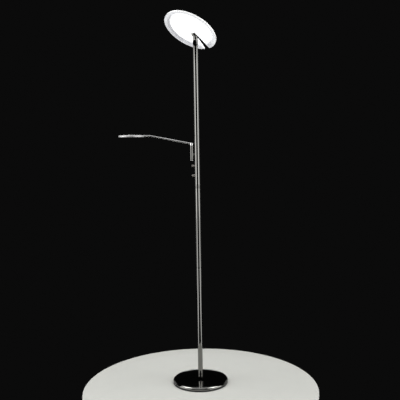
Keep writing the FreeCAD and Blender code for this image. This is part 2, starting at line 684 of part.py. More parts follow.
slotWay = Vector(math.cos(tilt) * math.cos(azimuth), math.cos(tilt) * math.sin(azimuth), -math.sin(tilt))
pivotWay = Vector(math.sin(azimuth), -math.cos(azimuth), 0)
litWay = slotWay.cross(pivotWay)
headCentre = pivotPoint - slotWay * size.pivotOffset.value + litWay * size.pivotDepth.value
headPlacement = Placement(headCentre, Rotation(slotWay, pivotWay, litWay, "ZXY"))


def inHead(item, label):
    item.Placement = headPlacement
    return keep(item, label)


def slotCut(body, half, start):
    """Cut the slot out of a head piece, from near the middle through the rim."""
    pocketed(body, "XY_Plane", 5, 40, outlines=[
        [(start, -half), (size.headRadius + 5, -half), (size.headRadius + 5, half), (start, half)]])


backSphere = (size.headRadius * size.headRadius + (size.headDepth - size.headRim)
              * (size.headDepth - size.headRim)) / ((size.headDepth - size.headRim) * 2)
backCentre = backSphere - size.headDepth


def backDepth(radius, wall):
    """Height of the domed back, or of its inside, at a radius."""
    shell = backSphere - wall
    return backCentre - root(shell * shell - radius * radius)


def makeHeadShell():
    wall = size.headWall
    rim = size.headRadius
    pan = turned("head_pan", [
        (rim - wall, 0), (rim - wall, backDepth(rim - wall, wall), backSphere - wall, -1),
        (0, -(size.headDepth - wall)), (0, -size.headDepth, backSphere, 1),
        (rim, -size.headRim), (rim, 0)])
    slotCut(pan, size.slotHalf + wall, size.slotStart - wall)
    inHead(pan, "head_pan")

    # U-shaped lining of the slot, cut to the same dome as the back.
    envelope = turned("lining_form", [
        (0, -0.3), (0, -size.headDepth, backSphere, 1), (rim, -size.headRim), (rim, -0.3)])
    outer = block("lining_outer", rim, (size.slotHalf + wall) * 2 - 0.04, 30,
                  size.slotStart - wall + 0.02, -(size.slotHalf + wall) + 0.02, -25)
    inner = block("lining_inner", rim, size.slotHalf * 2, 40, size.slotStart, -size.slotHalf, -30)
    holes = rod("lining_holes", size.pivotRadius + 0.1, 60, size.pivotOffset, -30, -size.pivotDepth, "y")
    inHead(cut("slot_lining", common("lining_common", envelope, outer), inner, holes), "slot_lining")

    ringOuter = rim - wall - 0.3
    ring = turned("reflector_ring", [
        (ringOuter, -0.4), (size.ringKnee, -size.kneeDepth), (size.ringInner, -size.ringDepth),
        (size.ringInner, -10.6), (size.ringInner + 1.2, -10.6), (size.ringInner + 1.2, -9.6),
        (size.ringKnee + 0.7, -(size.kneeDepth + 1.2)), (ringOuter, -1.6)])
    slotCut(ring, size.slotHalf + wall + 0.1, size.slotStart)
    inHead(ring, "reflector_ring")


def makeHeadLight():
    edge, crown = size.diffuserEdge, size.diffuserCrown
    radius = size.diffuserRadius
    rise = edge - crown
    sphere = (radius * radius + rise * rise) / (rise * 2)
    diffuser = turned("head_diffuser", [
        (radius, -edge, sphere, 1), (0, -crown), (0, -(crown + size.diffuserWall), sphere, -1),
        (radius, -(edge + size.diffuserWall))])
    margin = size.slotHalf + size.headWall + 0.2
    slotCut(diffuser, margin, size.slotStart - size.headWall - 0.2)
    inHead(diffuser, "head_diffuser")
    seat = turned("diffuser_seat", box(106, -(edge + size.diffuserWall + 0.8), radius,
                                       -(edge + size.diffuserWall)))
    slotCut(seat, margin, size.slotStart)
    inHead(seat, "diffuser_seat")

    depth = size.boardDepth
    board = turned("led_board", box(size.boardInner, -(depth + size.boardWall), size.boardOuter, -depth))
    plate = turned("heat_plate", box(size.boardInner - 3, -(depth + size.boardWall + 1.3),
                                     size.boardOuter - 1, -(depth + size.boardWall)))
    spots = [(size.pillarCircle * math.cos(math.radians(angle)),
              size.pillarCircle * math.sin(math.radians(angle))) for angle in (50, 130, 230, 310)]
    for body in (board, plate):
        slotCut(body, size.slotHalf + 6, 0)
        pocketed(body, "XY_Plane", 5, 40, circles=[(x, y, 1.6) for x, y in spots])
    inHead(board, "led_board")
    inHead(plate, "heat_plate")
    plateBottom = -(depth + size.boardWall + 1.3)
    pillarBottom = backDepth(size.pillarCircle + size.pillarRadius, size.headWall) + 0.1
    pillars = [cut(f"pillar_{number}",
                   rod(f"pillar_blank_{number}", size.pillarRadius, plateBottom - pillarBottom,
                       x, y, pillarBottom),
                   rod(f"pillar_bore_{number}", 1.52, 20, x, y, pillarBottom + 1))
               for number, (x, y) in enumerate(spots)]
    inHead(group("board_pillars", pillars), "board_pillars")
    screws = [fused(f"board_screw_{number}",
                    rod(f"board_shank_{number}", 1.48, size.boardWall + 2.6, x, y,
                        -(depth + size.boardWall + 2.6)),
                    rod(f"board_head_{number}", 2.8, 1.2, x, y, -depth))
              for number, (x, y) in enumerate(spots)]
    inHead(group("board_screws", screws), "board_screws")


def makeHinge():
    """Pin, cheeks, friction discs and nuts of the tilt joint, hidden beside the slot."""
    offset, depth, wall = size.pivotOffset, size.pivotDepth, size.headWall
    cheekStart = size.slotHalf + wall + 0.1
    footTop = asSize(16.4)
    for label, side in (("left_cheek", 1), ("right_cheek", -1)):
        def across(near, far):
            """Start and width of a box between two distances from the slot's middle."""
            low = near if side > 0 else -far
            return low, far - near
        y, width = across(cheekStart, cheekStart + size.cheekWall)
        web = block(f"{label}_web", 36, width, footTop + 1.6 - size.cheekTop,
                    offset - 16, y, -(footTop + 1.6))
        y, width = across(cheekStart, cheekStart + 12)
        foot = block(f"{label}_foot", 26, width, 1.6, offset - 14, y, -(footTop + 1.6))
        bore = rod(f"{label}_bore", size.pivotRadius + 0.02, 60, offset, -30, -depth, "y")
        inHead(cut(label, fused(f"{label}_body", web, foot), bore), label)

    pinHalf = cheekStart + size.cheekWall + 5
    pin = rod("pin_rod", size.pivotRadius, pinHalf * 2, offset, -pinHalf, -depth, "y")
    inHead(group("pivot_pin", [pin]), "pivot_pin")

    nutStart = cheekStart + size.cheekWall
    discStart = size.flatHalf + 0.1
    discs, nuts = [], []
    for number, side in enumerate((1, -1)):
        discLow = discStart if side > 0 else -(size.slotHalf - 0.1)
        disc = rod(f"disc_blank_{number}", 10.2, size.slotHalf - 0.1 - discStart,
                   offset, discLow, -depth, "y")
        discBore = rod(f"disc_bore_{number}", size.pivotRadius + 0.02, 60, offset, -30, -depth, "y")
        discs.append(cut(f"friction_disc_{number}", disc, discBore))
        nutLow = nutStart if side > 0 else -(nutStart + 4)
        nut = hexagon(f"pivot_hex_{number}", 10, 4, offset, nutLow, -depth, "y")
        nutBore = rod(f"pivot_hex_bore_{number}", size.pivotRadius + 0.02, 60, offset, -30, -depth, "y")
        nuts.append(cut(f"pivot_nut_{number}", nut, nutBore))
    inHead(group("friction_discs", discs), "friction_discs")
    inHead(group("pivot_nuts", nuts), "pivot_nuts")


# ---------------------------------------------------------------- build, check and write

makeFoot()
makeStud()
makePole()
makeDimmer("upper", size.upperDimmer)
makeDimmer("lower", size.lowerDimmer)
makeSleeve()
makeArm()
makeReadingLight()
makePoleTop()
makeHeadShell()
makeHeadLight()
makeHinge()
document.recompute()

faults = [item.Name for item in document.Objects if {"Invalid", "Error"} & set(item.State)]
faults += [label for label, item in pieces.items()
           if item.Shape.isNull() or not item.Shape.isValid() or item.Shape.Volume < 1]
if faults:
    raise SystemExit("failed: " + ", ".join(faults))

os.makedirs("parts", exist_ok=True)
for label, item in pieces.items():
    item.Shape.exportStep(f"parts/{label}.step")
print(len(pieces), "sub-parts,", round(sum(item.Shape.Volume for item in pieces.values()) / 1000), "cm3")
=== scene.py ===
import math

import bmesh
import bpy
from mathutils import Matrix, Vector


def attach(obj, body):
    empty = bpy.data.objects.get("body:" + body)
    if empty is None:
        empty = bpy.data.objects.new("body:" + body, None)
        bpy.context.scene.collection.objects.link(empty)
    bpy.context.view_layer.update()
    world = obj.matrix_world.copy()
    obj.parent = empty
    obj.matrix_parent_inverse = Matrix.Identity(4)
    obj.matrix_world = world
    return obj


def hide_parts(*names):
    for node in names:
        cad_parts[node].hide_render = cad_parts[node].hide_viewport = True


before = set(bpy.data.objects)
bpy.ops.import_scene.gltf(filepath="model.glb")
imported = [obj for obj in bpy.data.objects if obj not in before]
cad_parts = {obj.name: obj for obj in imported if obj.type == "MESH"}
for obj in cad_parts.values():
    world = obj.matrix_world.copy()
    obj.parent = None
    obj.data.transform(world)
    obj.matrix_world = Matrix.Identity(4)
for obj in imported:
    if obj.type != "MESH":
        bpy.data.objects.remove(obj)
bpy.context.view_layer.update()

scene = bpy.context.scene
print("frame loaded:", len(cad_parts), "nodes")


# shader groups that several finishes share

def shaderGroup(name, inputs, outputs):
    group = bpy.data.node_groups.new(name, "ShaderNodeTree")
    for label, value in inputs.items():
        group.interface.new_socket(name=label, in_out="INPUT", socket_type="NodeSocketFloat").default_value = value
    for label in outputs:
        group.interface.new_socket(name=label, in_out="OUTPUT", socket_type="NodeSocketFloat")
    return group, group.nodes.new("NodeGroupInput"), group.nodes.new("NodeGroupOutput")


def put(tree, kind, sockets=None, **settings):
    node = tree.nodes.new(kind)
    for key, value in settings.items():
        setattr(node, key, value)
    for key, value in (sockets or {}).items():
        if isinstance(value, bpy.types.NodeSocket):
            tree.links.new(value, node.inputs[key])
        else:
            node.inputs[key].default_value = value
    return node


def maths(tree, operation, a, b=0.0, clamp=False):
    return put(tree, "ShaderNodeMath", {0: a, 1: b}, operation=operation, use_clamp=clamp).outputs[0]


def band(tree, value, low, high):
    # 0 below low, 1 above high
    return put(tree, "ShaderNodeMapRange", {"Value": value, "From Min": low, "From Max": high},
               interpolation_type="SMOOTHSTEP").outputs["Result"]


def weighted(tree, constant, *terms, clamp=False):
    # a constant plus each socket times its weight
    total = None
    for socket, weight in terms:
        part = maths(tree, "MULTIPLY", socket, weight)
        total = part if total is None else maths(tree, "ADD", total, part)
    return maths(tree, "ADD", total, constant, clamp=clamp)


def stretched(tree, scale):
    coordinates = put(tree, "ShaderNodeTexCoord").outputs["Object"]
    return put(tree, "ShaderNodeMapping", {"Vector": coordinates, "Scale": scale}).outputs["Vector"]


def makeMarks():
    # hairline scratches, hand smudges and settled dust
    group, given, made = shaderGroup("surfaceMarks", {"Scratches": 1.0, "Smudges": 1.0, "Dust": 1.0},
                                     ["Scratch", "Smudge", "Dust"])
    lines = put(group, "ShaderNodeTexVoronoi", {"Vector": stretched(group, (260, 310, 34)), "Scale": 1.0},
                feature="DISTANCE_TO_EDGE").outputs["Distance"]
    patches = put(group, "ShaderNodeTexNoise", {"Vector": stretched(group, (23, 21, 17)), "Scale": 1.0,
                                                "Detail": 3.0}).outputs[0]
    hairline = maths(group, "SUBTRACT", 1.0, band(group, lines, 0.0, 0.022))
    sparse = maths(group, "MULTIPLY", hairline, band(group, patches, 0.5, 0.68))
    group.links.new(maths(group, "MULTIPLY", sparse, given.outputs["Scratches"]), made.inputs["Scratch"])
    hands = put(group, "ShaderNodeTexNoise", {"Vector": stretched(group, (31, 29, 19)), "Scale": 1.0,
                                              "Detail": 5.0, "Roughness": 0.62}).outputs[0]
    group.links.new(maths(group, "MULTIPLY", band(group, hands, 0.47, 0.74), given.outputs["Smudges"]),
                    made.inputs["Smudge"])
    upward = put(group, "ShaderNodeSeparateXYZ",
                 {0: put(group, "ShaderNodeNewGeometry").outputs["Normal"]}).outputs["Z"]
    specks = put(group, "ShaderNodeTexNoise", {"Vector": stretched(group, (900, 900, 900)), "Scale": 1.0,
                                               "Detail": 2.0}).outputs[0]
    film = maths(group, "MULTIPLY", band(group, upward, 0.3, 0.95), band(group, specks, 0.5, 0.72))
    group.links.new(maths(group, "MULTIPLY", film, given.outputs["Dust"]), made.inputs["Dust"])
    return group


def makeGrain():
    # fine overall grain with a slow drift of tone
    group, given, made = shaderGroup("fineGrain", {"Scale": 1000.0}, ["Grain", "Drift"])
    coordinates = stretched(group, (1, 1, 1))
    grain = put(group, "ShaderNodeTexNoise", {"Vector": coordinates, "Scale": given.outputs["Scale"],
                                              "Detail": 3.0, "Roughness": 0.6}).outputs[0]
    drift = put(group, "ShaderNodeTexNoise", {"Vector": coordinates, "Scale": 9.0, "Detail": 2.0}).outputs[0]
    group.links.new(grain, made.inputs["Grain"])
    group.links.new(band(group, drift, 0.3, 0.7), made.inputs["Drift"])
    return group


def makeRub():
    # bright rubbed edges
    group, given, made = shaderGroup("edgeRub", {"Reach": 0.04}, ["Rub"])
    edge = put(group, "ShaderNodeNewGeometry").outputs["Pointiness"]
    start = 0.51  # just over the value of a flat face
    full = maths(group, "ADD", start, given.outputs["Reach"])
    group.links.new(band(group, edge, start, full), made.inputs["Rub"])
    return group


marksGroup, grainGroup, rubGroup = makeMarks(), makeGrain(), makeRub()
dustTones = {"metal": (0.62, 0.61, 0.59), "matt": (0.6, 0.59, 0.57), "opal": (0.7, 0.69, 0.66),
             "enamel": (0.66, 0.65, 0.62)}
finishes = {}


def useGroup(tree, group, **values):
    node = tree.nodes.new("ShaderNodeGroup")
    node.node_tree = group
    for key, value in values.items():
        node.inputs[key].default_value = value
    return node.outputs


def mixed(tree, factor, first, second):
    node = put(tree, "ShaderNodeMix", {0: factor}, data_type="RGBA")
    for index, colour in ((6, first), (7, second)):
        if isinstance(colour, bpy.types.NodeSocket):
            tree.links.new(colour, node.inputs[index])
        else:
            node.inputs[index].default_value = (*colour, 1.0)
    return node.outputs[2]


def dusted(tree, marks, colour, amount, kind):
    return mixed(tree, maths(tree, "MULTIPLY", marks["Dust"], amount), colour, dustTones[kind])


def newFinish(name, **constants):
    material = bpy.data.materials.new(name)
    material.use_nodes = True
    shader = material.node_tree.nodes["Principled BSDF"]
    for key, value in constants.items():
        shader.inputs[key.replace("_", " ")].default_value = value
    finishes[name] = material
    return material.node_tree, shader


def bumped(tree, shader, height, distance):
    node = put(tree, "ShaderNodeBump", {"Height": height, "Distance": distance, "Strength": 1.0})
    tree.links.new(node.outputs["Normal"], shader.inputs["Normal"])


def polishedFinish(name, colour, roughness, scratches, smudges, dust):
    # bright plating, a little darker and rougher where hands and dust have been
    tree, shader = newFinish(name, Metallic=1.0)
    marks = useGroup(tree, marksGroup, Scratches=scratches, Smudges=smudges, Dust=dust)
    handled = mixed(tree, marks["Smudge"], colour, [part * 0.9 for part in colour])
    tree.links.new(dusted(tree, marks, handled, 0.35, "metal"), shader.inputs["Base Color"])
    rough = weighted(tree, roughness, (marks["Smudge"], 0.07), (marks["Scratch"], 0.16), (marks["Dust"], 0.25))
    tree.links.new(rough, shader.inputs["Roughness"])
    bumped(tree, shader, marks["Scratch"], -0.00002)


def grainedFinish(name, colour, roughness, grainScale, depth, metallic=0.0, spread=0.12, rub=None):
    # matt and satin finishes: grain in roughness and relief, a drift of tone, and rubbed edges where rub is a colour
    tree, shader = newFinish(name, Metallic=metallic)
    grain = useGroup(tree, grainGroup, Scale=grainScale)
    marks = useGroup(tree, marksGroup, Scratches=0.6, Smudges=0.8, Dust=0.8)
    light = [min(1.0, part * (1 + spread)) for part in colour]
    dark = [part * (1 - spread) for part in colour]
    tone = mixed(tree, grain["Drift"], dark, light)
    tone = dusted(tree, marks, tone, 0.3, "matt")
    if rub:
        tone = mixed(tree, useGroup(tree, rubGroup)["Rub"], tone, rub)
    tree.links.new(tone, shader.inputs["Base Color"])
    rough = weighted(tree, roughness, (grain["Grain"], 0.18), (marks["Smudge"], -0.06), clamp=True)
    tree.links.new(rough, shader.inputs["Roughness"])
    bumped(tree, shader, grain["Grain"], depth)


def brushedFinish(name, colour, roughness, direction):
    # directional brushing: direction is the scale along X, Y and Z
    tree, shader = newFinish(name, Metallic=1.0)
    streaks = put(tree, "ShaderNodeTexNoise", {"Vector": stretched(tree, direction), "Scale": 1.0,
                                               "Detail": 4.0, "Roughness": 0.7}).outputs[0]
    marks = useGroup(tree, marksGroup, Scratches=1.0, Smudges=0.7, Dust=1.0)
    tree.links.new(mixed(tree, streaks, [part * 0.82 for part in colour], colour), shader.inputs["Base Color"])
    tree.links.new(weighted(tree, roughness, (streaks, 0.2), (marks["Smudge"], 0.08)), shader.inputs["Roughness"])
    bumped(tree, shader, streaks, 0.00003)


def satinFinish(name, colour, roughness):
    # soft plating that spreads each light into one even band
    tree, shader = newFinish(name, Metallic=1.0)
    grain = useGroup(tree, grainGroup, Scale=1100.0)
    marks = useGroup(tree, marksGroup, Scratches=0.5, Smudges=0.8, Dust=0.6)
    tone = mixed(tree, grain["Drift"], [part * 0.96 for part in colour], colour)
    tree.links.new(dusted(tree, marks, tone, 0.3, "metal"), shader.inputs["Base Color"])
    rough = weighted(tree, roughness, (grain["Grain"], 0.05), (marks["Smudge"], 0.05))
    tree.links.new(rough, shader.inputs["Roughness"])
    bumped(tree, shader, marks["Scratch"], -0.00001)


def opalFinish(name, colour, glow, strength, edgeGlow):
    # lit opal sheet: brightest in the middle, softer where "reach" nears the rim
    tree, shader = newFinish(name, Emission_Strength=strength)
    reach = put(tree, "ShaderNodeAttribute", attribute_name="reach").outputs["Fac"]
    grain = useGroup(tree, grainGroup, Scale=1400.0)
    marks = useGroup(tree, marksGroup, Scratches=0.4, Smudges=0.6, Dust=0.5)
    tree.links.new(dusted(tree, marks, colour, 0.2, "opal"), shader.inputs["Base Color"])
    tree.links.new(mixed(tree, band(tree, reach, 0.78, 1.0), glow, [part * edgeGlow for part in glow]),
                   shader.inputs["Emission Color"])
    rough = weighted(tree, 0.3, (grain["Grain"], 0.12), (marks["Smudge"], 0.08))
    tree.links.new(rough, shader.inputs["Roughness"])
    bumped(tree, shader, grain["Grain"], 0.00002)


def enamelFinish(name, colour, glow, ring=False):
    # sprayed white gloss with a slight orange peel; glow is painted light, an emission that stands in for the light
    # the lit sheet throws on the enamel
    tree, shader = newFinish(name, Coat_Roughness=0.06, Emission_Strength=glow)
    peel = useGroup(tree, grainGroup, Scale=420.0)
    marks = useGroup(tree, marksGroup, Scratches=0.5, Smudges=0.8, Dust=1.0)
    shade = mixed(tree, peel["Drift"], [part * 0.965 for part in colour], colour)
    tree.links.new(dusted(tree, marks, shade, 0.25, "enamel"), shader.inputs["Base Color"])
    tree.links.new(weighted(tree, 0.22, (marks["Smudge"], 0.1)), shader.inputs["Roughness"])
    tree.links.new(weighted(tree, 0.5, (marks["Dust"], -0.3)), shader.inputs["Coat Weight"])
    # painted light: a near-white emission colour, scaled by glow
    lit = mixed(tree, peel["Drift"], (0.93, 0.94, 0.97), (0.98, 0.98, 1.0))
    if ring:
        # painted shade: the slope inside the knee of the ring, where "reach" is below 0.88, is painted darker than
        # its flat, and both are painted darker on the far side, along the head's own Y
        reach = put(tree, "ShaderNodeAttribute", attribute_name="reach").outputs["Fac"]
        along = put(tree, "ShaderNodeSeparateXYZ", {0: stretched(tree, (1, 1, 1))}).outputs["Y"]
        paintedFarShade = band(tree, along, -0.05, 0.085)
        flat = mixed(tree, paintedFarShade, (0.97, 0.98, 1.0), (0.56, 0.56, 0.60))
        slope = mixed(tree, paintedFarShade, (0.56, 0.56, 0.59), (0.22, 0.22, 0.25))
        lit = mixed(tree, band(tree, reach, 0.86, 0.92), slope, flat)
    tree.links.new(lit, shader.inputs["Emission Color"])
    bumped(tree, shader, peel["Grain"], 0.00004)


polishedFinish("poleChrome", (0.19, 0.188, 0.178), 0.045, 0.7, 0.8, 0.3)
polishedFinish("footChrome", (0.21, 0.207, 0.198), 0.04, 0.9, 0.7, 0.6)
polishedFinish("knobChrome", (0.46, 0.43, 0.40), 0.12, 0.6, 1.0, 0.4)
satinFinish("armChrome", (0.72, 0.72, 0.715), 0.12)
satinFinish("panChrome", (0.56, 0.56, 0.555), 0.6)
brushedFinish("turnedSteel", (0.62, 0.62, 0.63), 0.22, (90, 90, 1600))
grainedFinish("castIron", (0.10, 0.10, 0.105), 0.62, 900, 0.0004, metallic=0.6, spread=0.25, rub=(0.34, 0.33, 0.32))
grainedFinish("rolledAluminium", (0.70, 0.71, 0.72), 0.28, 1500, 0.00003, metallic=1.0, spread=0.06)
grainedFinish("zincSteel", (0.58, 0.58, 0.57), 0.26, 1300, 0.00004, metallic=1.0, spread=0.1, rub=(0.78, 0.78, 0.78))
grainedFinish("footRubber", (0.035, 0.035, 0.036), 0.68, 1700, 0.00012, spread=0.2)
grainedFinish("naturalNylon", (0.78, 0.76, 0.70), 0.38, 1200, 0.00004, spread=0.05)
grainedFinish("blackHousing", (0.030, 0.030, 0.032), 0.42, 2600, 0.00006, spread=0.15)
grainedFinish("cableSheath", (0.055, 0.055, 0.055), 0.5, 2200, 0.00005, spread=0.12)
grainedFinish("boardWhite", (0.86, 0.86, 0.83), 0.3, 900, 0.00003, spread=0.04)
# all three enamels glow with painted light: the head's pan, the slot's lining and the reflector ring
enamelFinish("whiteEnamel", (0.90, 0.90, 0.89), 0.12)
enamelFinish("slotEnamel", (0.84, 0.85, 0.87), 0.42)
enamelFinish("litEnamel", (0.84, 0.85, 0.87), 0.55, ring=True)
opalFinish("coolOpal", (0.92, 0.93, 0.94), (1.0, 1.0, 1.0), 1.3, 0.55)
opalFinish("warmOpal", (0.93, 0.91, 0.86), (1.0, 0.88, 0.70), 0.9, 0.8)
print("finishes:", len(finishes))


# mesh helpers: a profile is a list of (radius, height) in millimetres

sharpAngle = math.radians(32)


def arc(start, end, radius, side, count):
    # points of the minor arc after start, up to and with end; side 1 turns left
    (x0, y0), (x1, y1) = start[:2], end[:2]
    dx, dy = x1 - x0, y1 - y0
    chord = math.hypot(dx, dy)
    rise = math.sqrt(max(radius * radius - chord * chord / 4, 0.0)) * side
    cx, cy = (x0 + x1) / 2 - dy / chord * rise, (y0 + y1) / 2 + dx / chord * rise
    first = math.atan2(y0 - cy, x0 - cx)
    turn = (math.atan2(y1 - cy, x1 - cx) - first + math.pi) % (2 * math.pi) - math.pi
    return [(cx + radius * math.cos(first + turn * step / count), cy + radius * math.sin(first + turn * step / count))
            for step in range(1, count + 1)]


def eased(profile):
    # a third number on a corner is how far it is rounded off
    steps = 3
    points = []
    for index, corner in enumerate(profile):
        if len(corner) < 3:
            points.append(Vector(corner))
            continue
        here = Vector(corner[:2])
        before, after = Vector(profile[index - 1][:2]), Vector(profile[(index + 1) % len(profile)][:2])
        first, last = here + (before - here).normalized() * corner[2], here + (after - here).normalized() * corner[2]
        for step in range(steps + 1):
            t = step / steps
            points.append(first * (1 - t) ** 2 + here * (2 * t * (1 - t)) + last * t ** 2)
    return points


def meshObject(name, mesh, finish, place=None):
    if place is not None:
        mesh.transform(place)
    mesh.shade_smooth()
    mesh.set_sharp_from_angle(angle=sharpAngle)
    item = bpy.data.objects.new(name, mesh)
    scene.collection.objects.link(item)
    mesh.materials.clear()
    mesh.materials.append(finishes[finish])
    return item


def lathe(name, profile, finish, sides=96, place=None, reach=None):
    # closed half section spun round Z; points on the axis become single poles
    # reach is the radius at which the attribute of that name comes to 1
    points = eased(profile)
    shape = bmesh.new()
    rings = []
    for point in points:
        radius, height = point.x * 0.001, point.y * 0.001
        if radius < 1e-7:
            rings.append([shape.verts.new((0, 0, height))])
        else:
            rings.append([shape.verts.new((radius * math.cos(2 * math.pi * k / sides),
                                           radius * math.sin(2 * math.pi * k / sides), height))
                          for k in range(sides)])
    for index, ring in enumerate(rings):
        other = rings[(index + 1) % len(rings)]
        if len(ring) == 1 and len(other) == 1:
            continue
        for k in range(sides):
            corners = [ring[k % len(ring)], ring[(k + 1) % len(ring)],
                       other[(k + 1) % len(other)], other[k % len(other)]]
            unique = list(dict.fromkeys(corners))
            if len(unique) > 2:
                shape.faces.new(unique)
    bmesh.ops.recalc_face_normals(shape, faces=shape.faces)
    mesh = bpy.data.meshes.new(name)
    shape.to_mesh(mesh)
    shape.free()
    if reach:
        layer = mesh.attributes.new("reach", "FLOAT", "POINT")
        for vertex, value in zip(mesh.vertices, layer.data):
            value.value = min(1.0, vertex.co.xy.length / (reach * 0.001))
    return meshObject(name, mesh, finish, place)


def evaluated(item):
    # turns live modifiers into the object's own mesh
    mesh = bpy.data.meshes.new_from_object(item.evaluated_get(bpy.context.evaluated_depsgraph_get()))
    item.modifiers.clear()
    item.data = mesh
    return item


def boxCutter(low, high):
    mesh = bpy.data.meshes.new("cutter")
    shape = bmesh.new()
    bmesh.ops.create_cube(shape, size=1.0)
    for vertex in shape.verts:
        vertex.co = Vector([(a + b) / 2 + part * (b - a) for part, a, b in zip(vertex.co, low, high)]) * 0.001
    shape.to_mesh(mesh)
    shape.free()
    cutter = bpy.data.objects.new("cutter", mesh)
    scene.collection.objects.link(cutter)
    return cutter


def carved(item, cutter):
    tool = item.modifiers.new("carve", "BOOLEAN")
    tool.operation, tool.solver, tool.object = "DIFFERENCE", "EXACT", cutter
    evaluated(item)
    bpy.data.objects.remove(cutter)
    item.data.set_sharp_from_angle(angle=sharpAngle)
    return item


def fromNode(node, name, finish, bevel):
    # a merged copy of a CAD node, with its edges softened
    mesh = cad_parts[node].data.copy()
    shape = bmesh.new()
    shape.from_mesh(mesh)
    bmesh.ops.remove_doubles(shape, verts=shape.verts, dist=1e-6)
    bmesh.ops.dissolve_limit(shape, angle_limit=math.radians(0.6), verts=shape.verts, edges=shape.edges)
    shape.to_mesh(mesh)
    shape.free()
    item = meshObject(name, mesh, finish)
    soften = item.modifiers.new("soften", "BEVEL")
    soften.width, soften.segments = bevel * 0.001, 2
    soften.limit_method, soften.angle_limit = "ANGLE", math.radians(40)
    evaluated(item)
    item.data.set_sharp_from_angle(angle=sharpAngle + math.radians(12))
    return item


def fit(item, body, slot, *nodes):
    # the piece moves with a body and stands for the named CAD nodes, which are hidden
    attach(item, body)
    if nodes:
        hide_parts(*nodes)
    return item


# geometry node trees: each ends in real geometry with its finish set

def geometryTree(name, inputs):
    tree = bpy.data.node_groups.new(name, "GeometryNodeTree")
    keys = {}
    for label, (kind, value) in inputs.items():
        socket = tree.interface.new_socket(name=label, in_out="INPUT", socket_type="NodeSocket" + kind)
        keys[label] = socket.identifier
        if value is not None:
            socket.default_value = value
    tree.interface.new_socket(name="Geometry", in_out="OUTPUT", socket_type="NodeSocketGeometry")
    return tree, tree.nodes.new("NodeGroupInput").outputs, tree.nodes.new("NodeGroupOutput"), keys


def endTree(tree, out, geometry, material):
    real = put(tree, "GeometryNodeRealizeInstances", {0: geometry}).outputs[0]
    dressed = put(tree, "GeometryNodeSetMaterial", {"Geometry": real, "Material": material}).outputs[0]
    tree.links.new(dressed, out.inputs[0])


def grown(name, tree, keys, values, finish, points=None, place=None):
    # runs a tree on a small mesh of points and keeps its result as a plain mesh
    mesh = bpy.data.meshes.new(name)
    mesh.from_pydata(points or [(0, 0, 0)], [], [])
    if points:
        facing = mesh.attributes.new("facing", "FLOAT_VECTOR", "POINT")
        for entry, direction in zip(facing.data, values.pop("facing")):
            entry.vector = direction
    item = bpy.data.objects.new(name, mesh)
    scene.collection.objects.link(item)
    tool = item.modifiers.new("grow", "NODES")
    tool.node_group = tree
    for label, value in values.items():
        tool[keys[label]] = value
    tool[keys["Material"]] = finishes[finish]
    evaluated(item)
    if place is not None:
        item.data.transform(place)
    item.data.shade_smooth()
    item.data.set_sharp_from_angle(angle=sharpAngle)
    return item


def makeBentTube():
    # round tube along two straight runs with a rounded corner
    tree, given, out, keys = geometryTree("bentTube", {
        "Geometry": ("Geometry", None), "Start": ("Vector", (0, 0, 0)), "Corner": ("Vector", (0, 0, 0)),
        "Tip": ("Vector", (0, 0, 0)), "Bend": ("Float", 0.02), "Radius": ("Float", 0.004),
        "Sides": ("Int", 48), "Material": ("Material", None)})
    run = put(tree, "GeometryNodeCurvePrimitiveLine", {"Start": given["Start"], "End": given["Tip"]}).outputs[0]
    run = put(tree, "GeometryNodeResampleCurve", {"Curve": run, "Count": 3}).outputs[0]
    middle = put(tree, "FunctionNodeCompare", {2: tree.nodes.new("GeometryNodeInputIndex").outputs[0], 3: 1},
                 data_type="INT", operation="EQUAL").outputs[0]
    run = put(tree, "GeometryNodeSetPosition", {"Geometry": run, "Selection": middle,
                                                "Position": given["Corner"]}).outputs[0]
    run = put(tree, "GeometryNodeFilletCurve", {"Curve": run, "Radius": given["Bend"], "Count": 28},
              mode="POLY").outputs[0]
    ring = put(tree, "GeometryNodeCurvePrimitiveCircle", {"Resolution": given["Sides"],
                                                          "Radius": given["Radius"]}).outputs[0]
    tube = put(tree, "GeometryNodeCurveToMesh", {"Curve": run, "Profile Curve": ring, "Fill Caps": True}).outputs[0]
    endTree(tree, out, tube, given["Material"])
    return tree, keys


def makeRibRing():
    # straight ribs standing round Z
    tree, given, out, keys = geometryTree("ribRing", {
        "Geometry": ("Geometry", None), "Count": ("Int", 30), "Ring radius": ("Float", 0.006),
        "Rib radius": ("Float", 0.0004), "Rib length": ("Float", 0.01), "Height": ("Float", 0.0),
        "Material": ("Material", None)})
    ring = put(tree, "GeometryNodeMeshCircle", {"Vertices": given["Count"],
                                                "Radius": given["Ring radius"]}).outputs[0]
    rib = put(tree, "GeometryNodeMeshCylinder", {"Vertices": 8, "Radius": given["Rib radius"],
                                                 "Depth": given["Rib length"]}).outputs[0]
    ribs = put(tree, "GeometryNodeInstanceOnPoints", {"Points": ring, "Instance": rib}).outputs[0]
    lift = put(tree, "ShaderNodeCombineXYZ", {"Z": given["Height"]}).outputs[0]
    moved = put(tree, "GeometryNodeTransform", {"Geometry": ribs, "Translation": lift}).outputs[0]
    endTree(tree, out, moved, given["Material"])
    return tree, keys


